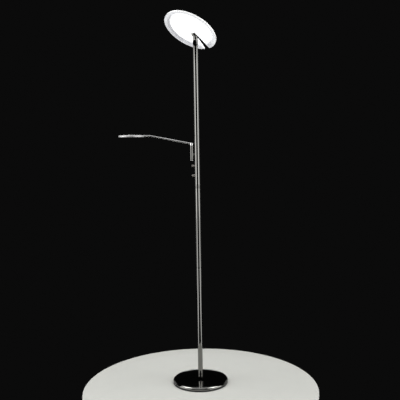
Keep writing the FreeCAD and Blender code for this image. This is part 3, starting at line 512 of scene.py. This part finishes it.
def makeScrewHeads():
    # chamfered round heads with a six-sided recess, one on each point, standing along "facing"
    tree, given, out, keys = geometryTree("screwHeads", {
        "Geometry": ("Geometry", None), "Radius": ("Float", 0.003), "Height": ("Float", 0.0012),
        "Material": ("Material", None)})
    top = put(tree, "ShaderNodeMath", {0: given["Radius"], 1: 0.72}, operation="MULTIPLY").outputs[0]
    socket = put(tree, "ShaderNodeMath", {0: given["Radius"], 1: 0.42}, operation="MULTIPLY").outputs[0]
    head = put(tree, "GeometryNodeMeshCone", {"Vertices": 28, "Radius Top": top, "Radius Bottom": given["Radius"],
                                              "Depth": given["Height"]}).outputs[0]
    drill = put(tree, "GeometryNodeMeshCylinder", {"Vertices": 6, "Radius": socket,
                                                   "Depth": given["Height"]}).outputs[0]
    rise = put(tree, "ShaderNodeMath", {0: given["Height"], 1: 0.9}, operation="MULTIPLY").outputs[0]
    lift = put(tree, "ShaderNodeCombineXYZ", {"Z": rise}).outputs[0]
    drill = put(tree, "GeometryNodeTransform", {"Geometry": drill, "Translation": lift}).outputs[0]
    head = put(tree, "GeometryNodeMeshBoolean", {"Mesh 1": head, "Mesh 2": drill}, operation="DIFFERENCE").outputs[0]
    facing = put(tree, "GeometryNodeInputNamedAttribute", {"Name": "facing"}, data_type="FLOAT_VECTOR").outputs[0]
    turn = put(tree, "FunctionNodeAlignRotationToVector", {"Vector": facing}, axis="Z").outputs[0]
    heads = put(tree, "GeometryNodeInstanceOnPoints", {"Points": given["Geometry"], "Instance": head,
                                                       "Rotation": turn}).outputs[0]
    endTree(tree, out, heads, given["Material"])
    return tree, keys


bentTube, ribRing, screwHeads = makeBentTube(), makeRibRing(), makeScrewHeads()


# foot: a thin plated sheet over a rubber pad; the lengths in each piece's dictionary are in millimetres

foot = {"radius": 142.5, "edge": 9.0, "shoulder": 12.0, "slope": math.radians(18), "lip": math.radians(20),
        "wall": 1.2, "hole": 5.3, "bottom": 4.8, "hem": 139.1, "hemTop": 6.0, "hemWall": 0.35,
        "padRadius": 141.5, "padHeight": 4.5}
padGrooves = {"count": 10, "first": 30.0, "pitch": 11.0, "width": 4.0, "side": 0.6, "depth": 0.7}


def makeFoot():
    radius, wall = foot["radius"], foot["wall"]
    slopeSine, slopeCosine = math.sin(foot["slope"]), math.cos(foot["slope"])
    shoulderX = radius - foot["shoulder"] * (1 - slopeSine)
    shoulderZ = foot["edge"] + foot["shoulder"] * slopeCosine
    dome = shoulderX / slopeSine
    centre = shoulderZ - dome * slopeCosine

    def domeHeight(sphere, x):
        return centre + math.sqrt(sphere * sphere - x * x)

    # the sheet leans in below a lip, where the shoulder starts at the lip's angle
    shoulder = foot["shoulder"] * (1 - slopeSine) / (math.cos(foot["lip"]) - slopeSine)
    lipZ = shoulderZ - shoulder * (slopeCosine - math.sin(foot["lip"]))
    outer = [(foot["hem"], foot["bottom"]), (foot["hem"], foot["hemTop"]), (radius - 0.15, lipZ - 0.7),
             (radius, lipZ)]
    outer += arc(outer[-1], (shoulderX, shoulderZ), shoulder, 1, 20)
    outer += arc(outer[-1], (foot["hole"], domeHeight(dome, foot["hole"])), dome, 1, 56)
    inner = [(foot["hole"], domeHeight(dome - wall, foot["hole"]))]
    innerShoulder = (shoulderX - wall * slopeSine, shoulderZ - wall * slopeCosine)
    inner += arc(inner[0], innerShoulder, dome - wall, -1, 40)
    inner += arc(innerShoulder, (radius - wall, lipZ), shoulder - wall, -1, 12)
    hemInside = foot["hem"] - foot["hemWall"]
    inner += [(hemInside, foot["hemTop"]), (hemInside, foot["bottom"])]
    cover = lathe("footCover", outer + inner, "footChrome", sides=256)
    fit(cover, "stand", "dark_chrome", "base_cover")

    # shallow ring grooves keep the pad from sliding
    rings = [(0, 0)]
    width, side, depth = padGrooves["width"], padGrooves["side"], padGrooves["depth"]
    for groove in range(padGrooves["count"]):
        start = padGrooves["first"] + groove * padGrooves["pitch"]
        rings += [(start, 0), (start + side, depth), (start + width - side, depth), (start + width, 0)]
    rings += [(foot["padRadius"], 0, 0.5), (foot["padRadius"], foot["padHeight"], 0.3), (0, foot["padHeight"])]
    fit(lathe("footPad", rings, "footRubber", sides=160), "stand", "rubber", "base_pad")
    fit(fromNode("cord_gland", "footGland", "footRubber", bevel=0.4), "stand", "rubber", "cord_gland")


makeFoot()
print("foot done")


# pole: three tubes end to end, and the ring and eye that the head turns on

pole = {"radius": 12.5, "bore": 11.3, "foot": 41.85, "joints": (600.0, 1010.0), "top": 1745.0, "edge": 0.15,
        "parts": 24, "ringBore": 11.5, "ringTop": 1746.0, "ringEdge": 0.2}


def makePole():
    radius, edge, top = pole["radius"], pole["ringEdge"], pole["ringTop"]
    heights = [pole["foot"], *pole["joints"], pole["top"]]
    for label, node, low, high in zip(("lower", "middle", "upper"), ("lower_tube", "middle_tube", "upper_tube"),
                                      heights, heights[1:]):
        length = high - low
        steps = [(radius, low + length * part / pole["parts"]) for part in range(1, pole["parts"])]
        section = [(pole["bore"], low), (radius, low, pole["edge"]), *steps, (radius, high, pole["edge"]),
                   (pole["bore"], high)]
        fit(lathe(label + "Tube", section, "poleChrome", sides=96), "stand", "chrome", node)
    ring = [(pole["ringBore"], pole["top"]), (radius, pole["top"], edge), (radius, top, edge),
            (pole["ringBore"], top)]
    fit(lathe("swivelRing", ring, "naturalNylon", sides=72), "stand", "nylon", "swivel_washer")
    fit(fromNode("pole_eye", "poleEye", "poleChrome", bevel=0.5), "swivel", "chrome", "pole_eye")


makePole()
print("pole done")


# dimmer knobs: the axis runs away from the pole, along -X

towardLeft = Matrix.Rotation(math.radians(-90), 4, "Y")
knob = {"heights": {"upper": 1123.5, "lower": 1074.5}, "radius": 5.8, "bead": 6.0, "start": 14.0, "end": 28.0,
        "mouth": 5.1, "mouthDepth": 3.0, "shaft": 2.02, "cap": 3.9, "dish": 0.25, "ribs": 32, "ribRadius": 0.26}


def makeKnobs():
    for side, height in knob["heights"].items():
        place = Matrix.Translation((0, 0, height * 0.001)) @ towardLeft
        end, start, bead, radius = knob["end"], knob["start"], knob["bead"], knob["radius"]
        low, high, top, dish = start + 1.2, end - 1.6, end - knob["cap"], end - knob["dish"]
        section = [(0, top), (knob["shaft"], top), (knob["shaft"], start + knob["mouthDepth"]),
                   (knob["mouth"], start + knob["mouthDepth"]), (knob["mouth"], start), (bead, start, 0.25),
                   (bead, start + 1.0, 0.15), (radius, low), (radius, high), (bead, end - 1.4, 0.15),
                   (bead, end - 0.7, 0.2), (5.3, end, 0.3), (3.4, end, 0.1), (3.1, dish, 0.1), (0, dish)]
        body = lathe(side + "Knob", section, "knobChrome", sides=64, place=place)
        fit(body, side + "_control", "chrome", side + "_knob")
        ribs = grown(side + "KnobRibs", *ribRing, {
            "Count": knob["ribs"], "Ring radius": radius * 0.001, "Rib radius": knob["ribRadius"] * 0.001,
            "Rib length": (high - low) * 0.001, "Height": (low + high) / 2 * 0.001}, "knobChrome", place=place)
        fit(ribs, side + "_control", "chrome")
        fit(fromNode(side + "_washer", side + "Collar", "poleChrome", bevel=0.2), "stand", "chrome", side + "_washer")


makeKnobs()
print("knobs done")


# reading arm: a hub that turns in a sleeve beside the pole, and its bent rod

arm = {"offset": 27.0, "sleeveRadius": 7.5, "sleeveBore": 5.5, "sleeveBottom": 1152.0, "sleeveTop": 1225.6,
       "hubTop": 1240.0, "rodStart": 1235.0, "neck": 1277.0, "corner": 235.0, "tip": 254.6, "bend": 25.0,
       "rodRadius": 4.0, "plugDrop": 2.5, "plugSink": 2.5, "seam": 0.05, "hubGap": 0.4, "hubPin": 4.02}
besidePole = Matrix.Translation((-arm["offset"] * 0.001, 0, 0))


def makeArm():
    radius, bore, low, high = arm["sleeveRadius"], arm["sleeveBore"], arm["sleeveBottom"], arm["sleeveTop"]
    sleeve = [(bore, low), (radius, low, 0.35), (radius, (low + high) / 2), (radius, high, 0.45), (bore, high)]
    fit(lathe("armSleeve", sleeve, "poleChrome", sides=64, place=besidePole), "stand", "chrome", "arm_sleeve")
    end, seam, inside = low - arm["plugDrop"], low - arm["seam"], low + arm["plugSink"]
    plug = [(0, end), (radius - 1.5, end, 0.4), (radius, low - 1.2, 0.4), (radius, seam, 0.2), (bore, seam),
            (bore, inside), (0, inside)]
    fit(lathe("sleevePlug", plug, "armChrome", sides=64, place=besidePole), "stand", "chrome", "sleeve_plug")
    fit(fromNode("arm_bracket", "armBracket", "poleChrome", bevel=0.25), "stand", "chrome", "arm_bracket")
    top, start, pin, groove = arm["hubTop"], high + arm["hubGap"], arm["hubPin"], radius - 0.35
    hub = [(0, top - 9.9), (pin, top - 9.9), (pin, start), (radius, start, 0.5), (radius, high + 2.2),
           (groove, high + 2.5), (groove, high + 3.1), (radius, high + 3.4), (radius, top, 2.0), (0, top)]
    fit(lathe("armHub", hub, "armChrome", sides=64, place=besidePole), "arm", "chrome", "arm_hub")
    rod = grown("armRod", *bentTube, {
        "Start": (-(arm["offset"] + 1) * 0.001, 0, (arm["rodStart"] + 0.2) * 0.001),
        "Corner": (-arm["corner"] * 0.001, 0, arm["neck"] * 0.001),
        "Tip": (-arm["tip"] * 0.001, 0, arm["neck"] * 0.001),
        "Bend": arm["bend"] * 0.001, "Radius": arm["rodRadius"] * 0.001, "Sides": 48}, "armChrome")
    fit(rod, "arm", "chrome", "arm_rod")


makeArm()
print("arm done")


# reading light: lit side down

reading = {"x": 328.5, "height": 1277.0, "radius": 63.5, "half": 4.5, "wall": 1.2, "cap": 24.0, "capTop": 10.0,
           "crown": 1.0, "sheet": 1.1, "sheetSink": 0.2, "neckRadius": 4.8, "neckBore": 2.05, "neckPin": 3.0,
           "neckReach": 10.0}


def makeReadingLight():
    place = Matrix.Translation((-reading["x"] * 0.001, 0, reading["height"] * 0.001))
    rim, half, wall, cap = reading["radius"], reading["half"], reading["wall"], reading["cap"]
    crown = half + reading["crown"]
    pan = [(rim - wall, -half, 0.1), (rim, -half, 0.35), (rim, half - 2.4, 1.3), (rim - 2.4, half, 1.3),
           (cap + 20, crown - 0.5), (cap, crown), (0, crown), (0, crown - wall), (cap, crown - wall),
           (rim - 2.8, half - wall), (rim - wall, half - 2.8)]
    fit(lathe("readingPan", pan, "panChrome", sides=160, place=place), "reading_head", "chrome", "reading_pan")
    rise = reading["capTop"] - crown - 0.6
    sphere = (cap * cap + rise * rise) / (2 * rise)
    dome = [(0, crown), (cap - 0.5, crown), (cap - 0.5, crown + 0.25), (cap, crown + 0.3), (cap, crown + 0.6)]
    dome += arc(dome[-1], (0, reading["capTop"]), sphere, 1, 20)
    fit(lathe("readingCap", dome, "armChrome", sides=128, place=place), "reading_head", "chrome", "reading_cap")
    edge, front = rim - wall - 0.2, reading["sheetSink"] - half
    back = front + reading["sheet"]
    sheet = [(0, front), (edge * 0.5, front), (edge * 0.8, front), (edge, front, 0.3), (edge, back), (0, back)]
    glow = lathe("readingDiffuser", sheet, "warmOpal", sides=128, place=place, reach=edge)
    fit(glow, "reading_head", "opal_warm", "reading_diffuser")
    start = reading["x"] - rim - reading["neckReach"]
    radius, bore, pin = reading["neckRadius"], reading["neckBore"], reading["neckPin"]
    boss = [(bore, 0), (radius, 0, 0.5), (radius, 2.3), (radius - 0.4, 2.5), (radius - 0.4, 3.1), (radius, 3.3),
            (radius, 11.3, 0.2), (pin, 11.3), (pin, 15.9), (bore, 15.9)]
    beside = Matrix.Translation((-start * 0.001, 0, reading["height"] * 0.001)) @ towardLeft
    fit(lathe("neckBoss", boss, "armChrome", sides=56, place=beside), "reading_head", "chrome", "neck_boss")


makeReadingLight()
print("reading light done")


# big head: local X along the slot, Y along the pivot, Z out of the lit face

head = {"radius": 138.0, "rim": 7.0, "depth": 22.0, "wall": 1.2, "slotHalf": 18.0, "slotStart": 17.5,
        "slotReach": (-45.0, 12.0), "ringInner": 112.4, "ringKnee": 121.0, "ringDepth": 9.0, "ringFoot": 10.6,
        "ringTop": 0.4, "kneeDepth": 2.6, "diffuser": 111.6, "crown": 2.0, "edge": 8.0, "sheet": 2.0,
        "pivotHeight": 1776.6, "pivotDepth": 11.0, "pivotOffset": 35.1, "azimuth": 43.05, "tilt": 34.3}
backScrews = {"radius": 2.8, "height": 1.4, "sink": 0.2, "cheekX": (26.5, 41.5), "cheekY": 26.5,
              "pillarAngles": (50, 130, 230, 310), "pillarCircle": 75.0}


def headPlace():
    azimuth, tilt = math.radians(head["azimuth"]), math.radians(head["tilt"])
    slotWay = Vector((math.cos(tilt) * math.cos(azimuth), math.cos(tilt) * math.sin(azimuth), -math.sin(tilt)))
    pivotWay = Vector((math.sin(azimuth), -math.cos(azimuth), 0))
    litWay = slotWay.cross(pivotWay)
    centre = Vector((0, 0, head["pivotHeight"])) - slotWay * head["pivotOffset"] + litWay * head["pivotDepth"]
    turn = Matrix((slotWay, pivotWay, litWay)).transposed().to_4x4()
    return Matrix.Translation(centre * 0.001) @ turn


def slotCutter(half, start):
    low, high = head["slotReach"]
    return boxCutter((start, -half, low), (head["radius"] + 20, half, high))


def makeHead():
    place = headPlace()
    rim, depth, wall = head["radius"], head["depth"], head["wall"]
    rise = depth - head["rim"]
    sphere = (rim * rim + rise * rise) / (2 * rise)

    def backHeight(radius, shell):
        return sphere - depth - math.sqrt((sphere - shell) ** 2 - radius * radius)

    half, start = head["slotHalf"] + wall, head["slotStart"] - wall
    pan = [(rim - wall, 0, 0.2), (rim, 0, 0.4), (rim, -head["rim"], 1.4), (rim - 6, backHeight(rim - 6, 0))]
    pan += arc(pan[-1], (0, -depth), sphere, -1, 40)
    inner = [(0, -depth + wall)]
    pan += inner + arc(inner[0], (rim - wall, backHeight(rim - wall, wall)), sphere - wall, 1, 32)
    shell = carved(lathe("headPan", pan, "whiteEnamel", sides=224), slotCutter(half, start))
    shell.data.transform(place)
    fit(shell, "head", "white_enamel", "head_pan")

    outer, knee, inside = rim - wall - 0.3, head["ringKnee"], head["ringInner"]
    top, bend, end = -head["ringTop"], -head["kneeDepth"], -head["ringFoot"]
    ring = [(outer, top, 0.1), (knee, bend, 1.2), (inside, -head["ringDepth"], 0.4), (inside, end),
            (inside + wall, end), (inside + wall, end + 1), (knee + 0.7, bend - wall), (outer, top - wall)]
    # the ring's finish, litEnamel, glows with painted light and carries painted shade on its slope and far side
    reflector = carved(lathe("headReflector", ring, "litEnamel", sides=224, reach=rim),
                       slotCutter(half + 0.1, start + wall))
    reflector.data.transform(place)
    fit(reflector, "head", "white_enamel", "reflector_ring")

    radius, sag = head["diffuser"], head["edge"] - head["crown"]
    bowl = (radius * radius + sag * sag) / (2 * sag)
    front = [(0, -head["crown"])]
    front += arc(front[0], (radius, -head["edge"]), bowl, -1, 36)
    back = [(radius, -head["edge"] - head["sheet"])]
    back += arc(back[0], (0, -head["crown"] - head["sheet"]), bowl, 1, 24)
    glow = carved(lathe("headDiffuser", front + back, "coolOpal", sides=224, reach=radius),
                  slotCutter(half + 0.2, start - 0.2))
    glow.data.transform(place)
    fit(glow, "head", "opal_cool", "head_diffuser")

    fit(fromNode("slot_lining", "slotLining", "slotEnamel", bevel=0.25), "head", "white_enamel", "slot_lining")
    fit(fromNode("pivot_nuts", "pivotNuts", "zincSteel", bevel=0.25), "head", "steel", "pivot_nuts")
    fit(fromNode("friction_discs", "frictionDiscs", "naturalNylon", bevel=0.3), "head", "nylon", "friction_discs")

    # screw heads on the back hold the hinge cheeks and the board's pillars
    spots = [(x, side * backScrews["cheekY"]) for x in backScrews["cheekX"] for side in (1, -1)]
    circle = backScrews["pillarCircle"]
    spots += [(circle * math.cos(math.radians(angle)), circle * math.sin(math.radians(angle)))
              for angle in backScrews["pillarAngles"]]
    points, facing = [], []
    for x, y in spots:
        height = backHeight(math.hypot(x, y), 0)
        points.append((x * 0.001, y * 0.001, (height - backScrews["sink"]) * 0.001))
        facing.append(Vector((x, y, height - (sphere - depth))).normalized())
    screws = grown("headScrews", *screwHeads, {
        "facing": facing, "Radius": backScrews["radius"] * 0.001, "Height": backScrews["height"] * 0.001},
        "zincSteel", points=points, place=place)
    fit(screws, "head", "steel")


makeHead()
print("big head done")


# finishes of the CAD nodes that stay as they are

nodeFinishes = {
    "zincSteel": ["base_plate", "base_screws", "pole_stud", "stud_washer", "stud_nut", "pole_couplers",
                  "swivel_grub", "bracket_screw", "spindle_nut", "neck_nut", "board_pillars", "board_screws",
                  "left_cheek", "right_cheek", "upper_nut", "lower_nut"],
    "turnedSteel": ["foot_plug", "upper_shaft", "lower_shaft", "arm_spindle", "neck_pin", "pivot_pin"],
    "castIron": ["base_weight"],
    "blackHousing": ["led_driver", "upper_dimmer", "lower_dimmer"],
    "cableSheath": ["pole_cable"],
    "naturalNylon": ["sleeve_bushes", "diffuser_seat", "reading_posts"],
    "boardWhite": ["led_board", "reading_board"],
    "rolledAluminium": ["heat_plate"],
}
for finish, nodes in nodeFinishes.items():
    for node in nodes:
        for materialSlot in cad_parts[node].material_slots:
            materialSlot.material = finishes[finish]
print("node finishes done")


# floor, lights and camera: the floor's disc in millimetres, places in metres, angles in degrees

studio = {"floorRadius": 595.0, "floorThickness": 22.0, "floorCentre": (0.0, -0.066),
          "floorTone": (0.59, 0.595, 0.56), "backdrop": 0.0033, "ceiling": 0.03,
          "ceilingStart": 0.8, "ceilingFull": 0.95}
camera = {"place": (0.011, -3.271, 1.273), "pitch": 5.63, "roll": 0.88, "lens": 58.41, "sensor": 36.0}
# place, target, width, height and power; the panels draw the pale strips on the pole, dimmer lower down
softboxes = {
    "topLight": ((-0.3, -0.75, 3.5), (-0.3, -0.75, 0), 2.8, 5.7, 35.0),
    "leftKey": ((-1.9, 0.05, 3.0), (0, 0, 0.4), 1.6, 1.6, 60.0),
    "rightKey": ((1.9, -0.35, 3.0), (0, 0, 0.4), 1.6, 1.6, 60.0),
    "leftPanel": ((-4.2, -2.6, 1.35), (0, -2.6, 1.35), 5.6, 2.1, 107.0),
    "rightPanel": ((4.2, -2.6, 1.35), (0, -2.6, 1.35), 5.6, 2.1, 107.0),
    "leftLowPanel": ((-4.2, -2.6, -0.55), (0, -2.6, -0.55), 5.6, 1.7, 56.0),
    "rightLowPanel": ((4.2, -2.6, -0.55), (0, -2.6, -0.55), 5.6, 1.7, 56.0),
    "leftRear": ((-3.4, 3.2, 0.9), (0, 0, 0.9), 2.8, 3.0, 8.0),
    "rightRear": ((3.4, 3.2, 0.9), (0, 0, 0.9), 2.8, 3.0, 8.0),
}


def makeFloor():
    radius, under = studio["floorRadius"], -studio["floorThickness"]
    section = [(0, under), (radius - 6, under, 2), (radius, under + 6, 3), (radius, 0, 3), (radius * 0.8, 0),
               (radius * 0.4, 0), (0, 0)]
    place = Matrix.Translation((*studio["floorCentre"], 0))
    tree, shader = newFinish("paleFloor")
    grain = useGroup(tree, grainGroup, Scale=160.0)
    tone = studio["floorTone"]
    tree.links.new(mixed(tree, grain["Drift"], [part * 0.985 for part in tone], tone), shader.inputs["Base Color"])
    tree.links.new(weighted(tree, 0.5, (grain["Grain"], 0.1)), shader.inputs["Roughness"])
    lathe("floor", section, "paleFloor", sides=200, place=place)


def makeWorld():
    # one plain tone round the lamp, paler overhead
    world = bpy.data.worlds.new("studio")
    scene.world = world
    world.use_nodes = True
    tree = world.node_tree
    tree.nodes.clear()
    way = put(tree, "ShaderNodeTexCoord").outputs["Generated"]
    height = put(tree, "ShaderNodeSeparateXYZ", {0: way}).outputs["Z"]
    low, high = [studio["backdrop"]] * 3, [studio["ceiling"]] * 3
    colour = mixed(tree, band(tree, height, studio["ceilingStart"], studio["ceilingFull"]), low, high)
    sky = put(tree, "ShaderNodeBackground", {"Color": colour, "Strength": 1.0})
    out = put(tree, "ShaderNodeOutputWorld")
    tree.links.new(sky.outputs[0], out.inputs["Surface"])


def softbox(name, place, target, width, height, power):
    light = bpy.data.lights.new(name, "AREA")
    light.shape, light.size, light.size_y, light.energy = "RECTANGLE", width, height, power
    item = bpy.data.objects.new(name, light)
    scene.collection.objects.link(item)
    item.location = place
    item.rotation_euler = (Vector(target) - Vector(place)).to_track_quat("-Z", "Y").to_euler()
    item.visible_camera = False


def makeCamera():
    pitch, roll = math.radians(camera["pitch"]), math.radians(camera["roll"])
    ahead = Vector((0, math.cos(pitch), -math.sin(pitch)))
    right, up = Vector((1, 0, 0)), Vector((0, math.sin(pitch), math.cos(pitch)))
    right, up = right * math.cos(roll) - up * math.sin(roll), right * math.sin(roll) + up * math.cos(roll)
    data = bpy.data.cameras.new("camera")
    data.sensor_width, data.lens = camera["sensor"], camera["lens"]
    item = bpy.data.objects.new("camera", data)
    item.matrix_world = Matrix.Translation(camera["place"]) @ Matrix((right, up, -ahead)).transposed().to_4x4()
    scene.collection.objects.link(item)
    scene.camera = item


makeFloor()
makeWorld()
for name, values in softboxes.items():
    softbox(name, *values)
makeCamera()
scene.view_settings.view_transform = "Standard"
print("studio done")
